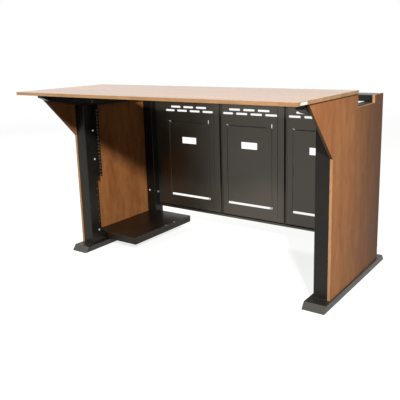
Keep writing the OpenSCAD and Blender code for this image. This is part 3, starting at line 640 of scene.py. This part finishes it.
hanger_side, hanger_sheet = -564, 0.002
hanger_outline = ((322, 25.1), (374.5, 25.1), (374.5, 62), (347, 94), (322, 94))
plate = bmesh.new()
side_face = plate.faces.new([plate.verts.new(metres(hanger_side, depth, height))
                             for depth, height in hanger_outline])
thickened = bmesh.ops.extrude_face_region(plate, geom=[side_face])["geom"]
bmesh.ops.translate(plate, vec=(hanger_sheet, 0, 0),
                    verts=[v for v in thickened if isinstance(v, bmesh.types.BMVert)])
bmesh.ops.recalc_face_normals(plate, faces=plate.faces)
hanger_mesh = bpy.data.meshes.new("shelf_hanger_made")
plate.to_mesh(hanger_mesh)
plate.free()
hanger = in_scene("shelf_hanger_made", hanger_mesh)
broken = hanger.modifiers.new("broken_edges", "BEVEL")
broken.width, broken.segments = 0.0004, 2
finished(hanger, shelf_coat, "desk", "black_steel")

# Fasteners: plated button-head bolts with a hexagon socket on the uprights, and pan-head screws
# with a square recess under the worktop, on the inside of the side panels and in the shelf.


def at_each_point(tree, given, shape):
    """The shape at each given point, turned to the way that the point faces."""
    facing = put(tree, "GeometryNodeInputNamedAttribute", {"Name": "facing"},
                 data_type="FLOAT_VECTOR")
    turned = put(tree, "FunctionNodeAlignRotationToVector", {"Vector": facing.outputs[0]},
                 axis="Z")
    return put(tree, "GeometryNodeInstanceOnPoints", {
        "Points": given["Geometry"], "Instance": shape,
        "Rotation": turned.outputs[0]}).outputs[0]


def fastener_tree():
    """Domed heads with a many-sided recess on plain shanks, one at each given point."""
    lengths = ("Head radius", "Head height", "Shank radius", "Shank length", "Recess radius")
    tree, given = new_shape("fasteners", {
        "Geometry": "Geometry", **dict.fromkeys(lengths, "Float"), "Recess sides": "Int",
        "Material": "Material"})
    head_high = given["Head height"]

    place = put(tree, "GeometryNodeInputPosition").outputs[0]
    up = put(tree, "ShaderNodeSeparateXYZ", {0: place}).outputs["Z"]
    cube = worked(tree, "POWER", worked(tree, "ADD", up, 0.5), 3.0)
    taper = worked(tree, "SQRT", worked(tree, "MULTIPLY_ADD", cube, -0.72, 1.0))
    radius = worked(tree, "MULTIPLY", taper, given["Head radius"])
    size = put(tree, "ShaderNodeCombineXYZ", {"X": radius, "Y": radius, "Z": head_high})
    shaped = put(tree, "ShaderNodeVectorMath", {0: place, 1: size.outputs[0]},
                 operation="MULTIPLY")
    half_up = put(tree, "ShaderNodeCombineXYZ", {"Z": worked(tree, "MULTIPLY", head_high, 0.5)})
    head = put(tree, "GeometryNodeSetPosition", {
        "Geometry": rod(tree, 28, 1.0, 1.0, rings=6), "Position": shaped.outputs[0],
        "Offset": half_up.outputs[0]})

    recess = rod(tree, given["Recess sides"], given["Recess radius"], head_high)
    cut = put(tree, "GeometryNodeMeshBoolean", {"Mesh 1": head.outputs[0]}, operation="DIFFERENCE")
    tree.links.new(raised(tree, recess, head_high), cut.inputs["Mesh 2"])

    shank = rod(tree, 20, given["Shank radius"], given["Shank length"])
    bolt = put(tree, "GeometryNodeJoinGeometry")
    for part in (raised(tree, shank, worked(tree, "MULTIPLY", given["Shank length"], -0.5)),
                 cut.outputs["Mesh"]):
        tree.links.new(part, bolt.inputs[0])
    return shape_done(tree, given, at_each_point(tree, given, bolt.outputs[0]))


def seats(name, places):
    """Points, each with the way that its head faces."""
    mesh = bpy.data.meshes.new(name)
    mesh.from_pydata([place for place, _ in places], [], [])
    facing = mesh.attributes.new("facing", "FLOAT_VECTOR", "POINT")
    for at, (_, way) in zip(facing.data, places):
        at.vector = way
    return mesh


fasteners = fastener_tree()
upright_face, rail_sheet = 560, 2
bolt_places = [(metres(-upright_face, 333, 81.5), (1, 0, 0)),
               (metres(-upright_face + rail_sheet, 333, 421), (1, 0, 0)),
               (metres(-upright_face + rail_sheet, 333, 554), (1, 0, 0))]
for sign in (-1, 1):
    bolt_places += [(metres(sign * upright_face, 770, 169), (-sign, 0, 0)),
                    (metres(sign * 593, 744, 179), (0, -1, 0))]
bolts = grown("upright_bolts_made", fasteners, {
    "Head radius": 0.006, "Head height": 0.004, "Shank radius": 0.003, "Shank length": 0.010,
    "Recess radius": 0.0026, "Recess sides": 6, "Material": bolt_zinc},
    seats("upright_bolts_made", bolt_places))
finished(bolts, bolt_zinc, "desk", "zinc", "upright_bolts")

pan_head = {"Head radius": 0.0045, "Head height": 0.003, "Shank radius": 0.002,
            "Shank length": 0.010, "Recess radius": 0.0018, "Recess sides": 4,
            "Material": bolt_zinc}


def boxes_of(node):
    """The low and the high corner of each separate solid in a node."""
    form = merged(node)
    left, boxes = set(form.verts), []
    while left:
        shell, queue = [], [left.pop()]
        while queue:
            vertex = queue.pop()
            shell.append(vertex.co.copy())
            for edge in vertex.link_edges:
                other = edge.other_vert(vertex)
                if other in left:
                    left.remove(other)
                    queue.append(other)
        boxes.append((Vector(min(v[i] for v in shell) for i in range(3)),
                      Vector(max(v[i] for v in shell) for i in range(3))))
    form.free()
    return boxes


under_top = []
for low, high in boxes_of("worktop_screws"):
    centre = (low + high) / 2
    under_top.append(((centre.x, centre.y, low.z + pan_head["Head height"]), (0, 0, -1)))
screws = grown("worktop_screws_made", fasteners, pan_head, seats("worktop_screws_made", under_top))
finished(screws, bolt_zinc, "desk", "zinc", "worktop_screws")

inside = []
for low, high in boxes_of("panel_screws"):
    centre = (low + high) / 2
    sign = 1 if centre.x > 0 else -1
    head = (low.x if sign > 0 else high.x) + sign * pan_head["Head height"]
    inside.append(((head, centre.y, centre.z), (-sign, 0, 0)))
screws = grown("panel_screws_made", fasteners, pan_head, seats("panel_screws_made", inside))
finished(screws, bolt_zinc, "desk", "zinc", "panel_screws")

in_shelf = [(metres(-365, depth, 63), (0, 0, 1)) for depth in (589, 653)]
shelf_screws = grown("shelf_screws_made", fasteners, {
    **pan_head, "Head height": 0.0022, "Shank length": 0.006},
    seats("shelf_screws_made", in_shelf))
finished(shelf_screws, bolt_zinc, "desk", "zinc")

# Thread inserts: a plated collar pressed into each hole of the rack rail, where the equipment's
# screws go.


def collar_tree():
    """A flat collar round each given point."""
    lengths = ("Middle radius", "Wall", "Height")
    tree, given = new_shape("thread_inserts", {
        "Geometry": "Geometry", **dict.fromkeys(lengths, "Float"), "Material": "Material"})
    circle = put(tree, "GeometryNodeCurvePrimitiveCircle",
                 {"Resolution": 24, "Radius": given["Middle radius"]})
    section = put(tree, "GeometryNodeCurvePrimitiveQuadrilateral",
                  {"Width": given["Wall"], "Height": given["Height"]})
    collar = put(tree, "GeometryNodeCurveToMesh", {
        "Curve": circle.outputs["Curve"], "Profile Curve": section.outputs["Curve"]})
    return shape_done(tree, given, at_each_point(tree, given, collar.outputs[0]))


rack_units, rack_unit, hole_gap = 7, 44.45, 15.875
rack_column, rack_face, rack_foot = -539, 344.6, 340
rack_holes = [(metres(rack_column, rack_face,
                      rack_foot + rack_unit * (unit + 0.5) + step * hole_gap), (0, -1, 0))
              for unit in range(rack_units) for step in (-1, 0, 1)]
insert_plate = zinc_plate("insert_plate", (0.26, 0.22, 0.16), roughness=0.5)
collars = grown("thread_inserts_made", collar_tree(), {
    "Middle radius": 0.0032, "Wall": 0.0009, "Height": 0.0008, "Material": insert_plate},
    seats("thread_inserts_made", rack_holes))
finished(collars, insert_plate, "desk", "zinc")
